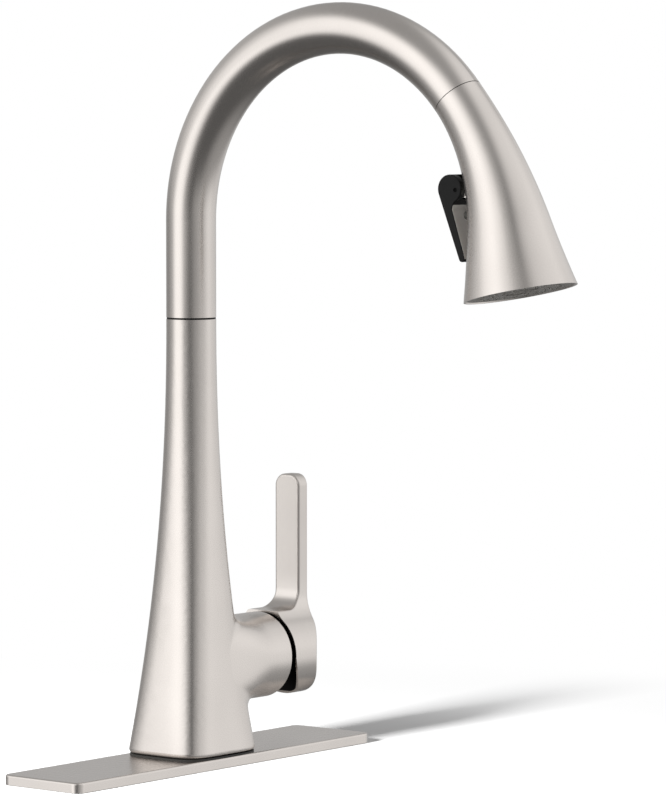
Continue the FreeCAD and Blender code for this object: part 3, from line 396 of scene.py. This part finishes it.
def hose_line(along):
    """Places on the hose's line, and how far it leans from upright there, by the distance from the head's end.

    The heading is (0, sin lean, cos lean), and the place is its integral: a rise, then an arc, then a drop.
    """
    rise = np.clip(along, 0, bend_from)
    lean = PULL_LEAN + np.clip((along - bend_from) / bend_radius, 0, turn_angle)
    drop = np.clip(along - bend_to, 0, None)
    y = hose_top[1] + rise * math.sin(PULL_LEAN) + bend_radius * (math.cos(PULL_LEAN) - np.cos(lean))
    z = hose_top[2] + rise * math.cos(PULL_LEAN) + bend_radius * (np.sin(lean) - math.sin(PULL_LEAN)) - drop
    return np.stack((np.zeros_like(y), y, z), axis=-1), lean


print("the hose is %.0f mm long and ends at %.4f m" % (hose_length * 1000, hose_line(hose_length)[0][2]))

# %% [markdown]
# ## Where the hose would stretch
#
# At rest the spare hose hides in the column. A mesh can't slide through the spout, so a short length
# just above the head would take up the whole pull: below it the hose would follow the head, above it the
# spout.
# Here that share of the pull only sets the braid's V coordinate, which is measured with the head pulled right
# out, so the braid has its true size there and is only packed tight while it is hidden.

# %% How much each point follows the head
PULL_LENGTH = 0.2
GIVE_FROM = 0.039
GIVE_TO = 0.0185
# flatter than the pull, so that the whole column lies before the start
give_way = np.array((0, -0.96, -0.28))

give_start = hose_line(np.array(GIVE_FROM))[0]
give_reach = (hose_line(np.array(GIVE_TO))[0] - give_start) @ give_way / (give_way @ give_way)
give_end = give_start + give_way * give_reach


def follows_head(points):
    """The share t * t * (3 - 2 * t) of the pull, with t from 0 at the start to 1 at the end."""
    t = np.clip((points - give_start) @ (give_end - give_start) / np.sum((give_end - give_start) ** 2), 0, 1)
    return t * t * (3 - 2 * t)


print("the hose gives over %.1f mm" % ((GIVE_FROM - GIVE_TO) * 1000))

# %% The hose's surface
AROUND = 40
GIVE_STEPS = 120
BEND_STEPS = 70
DROP_STEPS = 12


def make_hose():
    """A ring of radius r at angle a lies at line + r * (cos a * X + sin a * N).

    N is (0, -cos lean, sin lean). The rows run down the outside and back up the bore,
    so the surface closes on itself both ways.
    """
    along = np.concatenate((np.linspace(0, GIVE_FROM + HOSE_RADIUS, GIVE_STEPS, endpoint=False),
                            np.linspace(GIVE_FROM + HOSE_RADIUS, bend_to, BEND_STEPS, endpoint=False),
                            np.linspace(bend_to, hose_length, DROP_STEPS)))
    radius = np.repeat((HOSE_RADIUS, HOSE_BORE), len(along))[:, None, None]
    along = np.concatenate((along, along[::-1]))
    line, lean = hose_line(along)
    side = np.array((1.0, 0.0, 0.0))
    normal = np.stack((np.zeros_like(lean), -np.cos(lean), np.sin(lean)), axis=-1)
    angle = 2 * np.pi * np.arange(AROUND)[None, :, None] / AROUND
    points = line[:, None] + radius * (np.cos(angle) * side + np.sin(angle) * normal[:, None])
    pulled = along[:, None] - PULL_LENGTH * follows_head(points)
    rows = len(along)
    row, column = (grid.ravel() for grid in np.mgrid[0:rows, 0:AROUND])
    rows_of = np.stack((row, row + 1, row + 1, row), axis=1) % rows
    columns_of = np.stack((column, column, column + 1, column + 1), axis=1)
    faces = rows_of * AROUND + columns_of % AROUND
    uv = np.stack((columns_of / AROUND, pulled[rows_of, columns_of % AROUND]), axis=-1)
    mesh = bpy.data.meshes.new("braided_spray_hose")
    mesh.from_pydata(points.reshape(-1, 3).tolist(), [], faces.tolist())
    mesh.uv_layers.new(name="UVMap").data.foreach_set("uv", uv.ravel())
    mesh.shade_smooth()
    hose = bpy.data.objects.new("braided_spray_hose", mesh)
    bpy.context.scene.collection.objects.link(hose)
    return hose


hose = make_hose()
print("the hose has", len(hose.data.polygons), "faces")

# %% [markdown]
# ## Braided nylon
#
# Twelve flat bundles of nylon thread wind round the hose each way and cross at about 55 degrees to its length,
# the angle at which a hose keeps its length under pressure. Each way is a sine over the sum or the difference
# of the turn and the length. The greater of the two is the thread that lies on top, and the low spots between
# them get painted shade. The threads inside a bundle are too fine to show.

# %% Braided nylon
BUNDLES = 12
BRAID_ANGLE = math.radians(54.7)
BRAID_DEPTH = 0.0003
BRAID_STRENGTH = 0.7
# heights at which a thread is all in painted shade and all lit
BRAID_LOW = -0.8
BRAID_HIGH = 0.9

braid_pitch = 2 * math.pi * HOSE_RADIUS / BUNDLES / math.tan(BRAID_ANGLE)


def braided_nylon(name):
    """Height is max(sin(2 pi (n u + v / p)), sin(2 pi (n u - v / p))): n bundles each way, p their pitch."""
    material, tree, place = empty_finish(name)
    u = add(tree, "ShaderNodeSeparateXYZ", {0: place.node.outputs["UV"]}, "X")
    turn = add(tree, "ShaderNodeMath", {0: u, 1: 2 * math.pi * BUNDLES}, operation="MULTIPLY")
    climb = {0: u.node.outputs["Y"], 1: 2 * math.pi / braid_pitch}
    climb = add(tree, "ShaderNodeMath", climb, operation="MULTIPLY")
    bundles = []
    for way in ("ADD", "SUBTRACT"):
        phase = add(tree, "ShaderNodeMath", {0: turn, 1: climb}, operation=way)
        bundles.append(add(tree, "ShaderNodeMath", {0: phase}, operation="SINE"))
    height = add(tree, "ShaderNodeMath", {0: bundles[0], 1: bundles[1]}, operation="MAXIMUM")
    limits = {"Value": height, "From Min": BRAID_LOW, "From Max": BRAID_HIGH}
    share = add(tree, "ShaderNodeMapRange", limits)
    # painted shade: dark in the low spots between the bundles
    tones = {"Factor": share, FIRST: linear("#1B1B1C"), SECOND: linear("#77787A")}
    colour = add(tree, "ShaderNodeMix", tones, MIXED, data_type="RGBA")
    relief = {"Height": share, "Strength": BRAID_STRENGTH, "Distance": BRAID_DEPTH}
    bump = add(tree, "ShaderNodeBump", relief)
    close_finish(tree, Base_Color=colour, Normal=bump, Roughness=0.5, Specular_IOR_Level=0.4)
    return material


hose.data.materials.append(braided_nylon("braided_nylon"))
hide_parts("spray_hose")
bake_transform(hose)
print("braid pitch %.2f mm" % (braid_pitch * 1000))

# %% [markdown]
# ## Studio light
#
# Satin metal shows its surroundings, so most of its look comes from the room it stands in.
# Here that is a studio of large soft panels: a bright one at the left, a dark gap behind the camera
# and a wide, dimmer one at the right. Panels could be real lamps, but a wide panel is cheaper and smoother
# as a brightness in the world's shader that depends on the turn of the ray. Metal sees these walls,
# the camera sees plain white behind the faucet, and dull surfaces get an even fill.

# %% Directions in the studio
AWAY = Vector((LOOK.x, LOOK.y, 0)).normalized()
RIGHT = Vector((AWAY.y, -AWAY.x, 0))
UP = Vector((0, 0, 1))


def direction(turn, rise):
    """The direction turn degrees to the right of the camera, as the faucet sees it, and rise degrees up."""
    t, r = math.radians(turn), math.radians(rise)
    return (RIGHT * math.sin(t) - AWAY * math.cos(t)) * math.cos(r) + UP * math.sin(r)


print("the camera looks", round(math.degrees(math.asin(-LOOK.z)), 1), "degrees down")

# %% Walls, ceiling and ground
# brightness of the walls by the turn to the right of the camera, in degrees
EYE_WALLS = ((-180, 0.56), (-128, 0.32), (-98, 0.50), (-72, 1.58), (-50, 1.56), (-27, 0.36), (-6, 0.12),
             (20, 0.48), (58, 0.74), (90, 1.08), (120, 0.88), (180, 0.56))
HIGH_WALLS = ((-180, 0.56), (-128, 0.58), (-104, 0.86), (-84, 1.38), (-60, 1.62), (-32, 1.46), (-10, 0.60),
              (9, 0.12), (32, 0.48), (56, 0.84), (92, 1.16), (125, 0.98), (180, 0.56))
TOP_WALLS = ((-180, 0.36), (-128, 0.58), (-104, 0.92), (-84, 1.44), (-60, 1.60), (-36, 1.30), (-14, 0.66),
             (6, 0.16), (20, 0.68), (44, 0.86), (70, 1.04), (100, 1.12), (125, 0.92), (150, 0.40), (180, 0.36))
# the ray's height, as a sine, over which one level gives way to the next
HIGH_FADE = (0.0, 0.13)
TOP_FADE = (0.3, 0.5)
CEILING_FADE = (0.45, 0.86)
GROUND_FADE = (-0.50, -0.15)
# ceiling and ground run from one brightness to another across the camera's view
CEILING_LEFT = 0.42
CEILING_RIGHT = 1.0
CEILING_ACROSS = (0.05, 0.5)
GROUND_LEFT = 0.13
GROUND_RIGHT = 0.40
GROUND_ACROSS = (0.28, 0.8)
# the even light on surfaces that don't mirror
FILL = 0.34


def grey(level):
    """A grey of this linear brightness."""
    return (level, level, level, 1)


def wall_panels(tree, ray, panels):
    """The walls' brightness: the turn of the ray picks it from the panels."""
    across = add(tree, "ShaderNodeVectorMath", {0: ray, 1: RIGHT}, "Value", operation="DOT_PRODUCT")
    towards = add(tree, "ShaderNodeVectorMath", {0: ray, 1: -AWAY}, "Value", operation="DOT_PRODUCT")
    angle = add(tree, "ShaderNodeMath", {0: across, 1: towards}, operation="ARCTAN2")
    share = add(tree, "ShaderNodeMapRange", {"Value": angle, "From Min": -math.pi, "From Max": math.pi})
    levels = add(tree, "ShaderNodeValToRGB", {0: share})
    ramp = levels.node.color_ramp
    ramp.interpolation = "EASE"
    for turn, level in panels[1:-1]:
        ramp.elements.new((turn + 180) / 360)
    for element, (turn, level) in zip(ramp.elements, panels):
        element.color = grey(level)
    return levels


def blend_levels(tree, factor, limits, low, high):
    """Brightness low where the factor is under the limits, high where it is over them, smooth between."""
    share = {"Value": factor, "From Min": limits[0], "From Max": limits[1]}
    share = add(tree, "ShaderNodeMapRange", share, interpolation_type="SMOOTHSTEP")
    return add(tree, "ShaderNodeMix", {"Factor": share, FIRST: low, SECOND: high}, MIXED, data_type="RGBA")


def make_world():
    """Metal sees the room, other surfaces see the fill and the camera sees white."""
    world = bpy.data.worlds.new("studio")
    bpy.context.scene.world = world
    world.use_nodes = True
    tree = world.node_tree
    tree.nodes.clear()
    ray = add(tree, "ShaderNodeTexCoord", {}, "Generated")
    up = add(tree, "ShaderNodeVectorMath", {0: ray, 1: UP}, "Value", operation="DOT_PRODUCT")
    across = add(tree, "ShaderNodeVectorMath", {0: ray, 1: RIGHT}, "Value", operation="DOT_PRODUCT")
    room = wall_panels(tree, ray, EYE_WALLS)
    room = blend_levels(tree, up, HIGH_FADE, room, wall_panels(tree, ray, HIGH_WALLS))
    room = blend_levels(tree, up, TOP_FADE, room, wall_panels(tree, ray, TOP_WALLS))
    ceiling = blend_levels(tree, across, CEILING_ACROSS, grey(CEILING_LEFT), grey(CEILING_RIGHT))
    room = blend_levels(tree, up, CEILING_FADE, room, ceiling)
    ground = blend_levels(tree, across, GROUND_ACROSS, grey(GROUND_LEFT), grey(GROUND_RIGHT))
    room = blend_levels(tree, up, GROUND_FADE, ground, room)
    path = add(tree, "ShaderNodeLightPath", {}, "Is Camera Ray").node.outputs
    seen = {"Factor": path["Is Glossy Ray"], FIRST: grey(FILL), SECOND: room}
    seen = add(tree, "ShaderNodeMix", seen, MIXED, data_type="RGBA")
    seen = {"Factor": path["Is Camera Ray"], FIRST: seen, SECOND: grey(1.0)}
    seen = add(tree, "ShaderNodeMix", seen, MIXED, data_type="RGBA")
    light = add(tree, "ShaderNodeBackground", {"Color": seen, "Strength": 1.0})
    add(tree, "ShaderNodeOutputWorld", {"Surface": light})


make_world()
bpy.context.scene.view_settings.view_transform = "Standard"
print("the studio has", len(EYE_WALLS) - 1, "wall panels")

# %% [markdown]
# ## Key light and floor
#
# A softbox at the left draws the soft shadow that ties the plate to the ground.
# The walls already hold its reflection, so metal doesn't see the lamp itself.
# The floor is pale and matt. It takes the shadow and hides what is below the deck.
# Further out it turns to the background's white, so no horizon shows.

# %% Key light
MIDDLE = Vector((0, -0.08, 0.2))
KEY_TURN = -38
KEY_RISE = 16
KEY_AWAY = 2.0
KEY_SIDE = 0.30
KEY_RADIANCE = 450.0


def make_key():
    """A square lamp whose power is radiance times pi times its area, turned towards the faucet."""
    data = bpy.data.lights.new("key_left", "AREA")
    data.shape = "SQUARE"
    data.size = KEY_SIDE
    data.energy = KEY_RADIANCE * math.pi * KEY_SIDE ** 2
    lamp = bpy.data.objects.new("key_left", data)
    bpy.context.scene.collection.objects.link(lamp)
    out = direction(KEY_TURN, KEY_RISE)
    lamp.location = MIDDLE + out * KEY_AWAY
    lamp.rotation_mode = "QUATERNION"
    lamp.rotation_quaternion = (-out).to_track_quat("-Z", "Y")
    lamp.visible_glossy = False
    return lamp


key = make_key()
print("the key light stands at", [round(v, 2) for v in key.location])

# %% Floor
FLOOR_HALF = 3.0
FADE_START = 0.16
FADE_END = 0.52


def make_floor():
    """A square at height 0. To the camera it turns white from FADE_START to FADE_END from the column."""
    mesh = bpy.data.meshes.new("floor")
    corners = [(x * FLOOR_HALF, y * FLOOR_HALF, 0) for x, y in ((-1, -1), (1, -1), (1, 1), (-1, 1))]
    mesh.from_pydata(corners, [], [(0, 1, 2, 3)])
    floor = bpy.data.objects.new("floor", mesh)
    bpy.context.scene.collection.objects.link(floor)
    floor.visible_glossy = False
    material, tree, place = empty_finish("pale_floor")
    away = add(tree, "ShaderNodeVectorMath", {0: place}, "Value", operation="LENGTH")
    shares = {"Value": away, "From Min": FADE_START, "From Max": FADE_END}
    far = add(tree, "ShaderNodeMapRange", shares, interpolation_type="SMOOTHSTEP")
    seen = add(tree, "ShaderNodeLightPath", {}, "Is Camera Ray")
    white = add(tree, "ShaderNodeMath", {0: far, 1: seen}, operation="MULTIPLY")
    tones = {"Factor": white, FIRST: linear("#F9F9F9"), SECOND: linear("#000000")}
    colour = add(tree, "ShaderNodeMix", tones, MIXED, data_type="RGBA")
    close_finish(tree, Base_Color=colour, Roughness=0.9, Specular_IOR_Level=0.0,
                 Emission_Color=linear("#FFFFFF"), Emission_Strength=white)
    mesh.materials.append(material)


make_floor()
print("the floor is plain white beyond", FADE_END, "m")
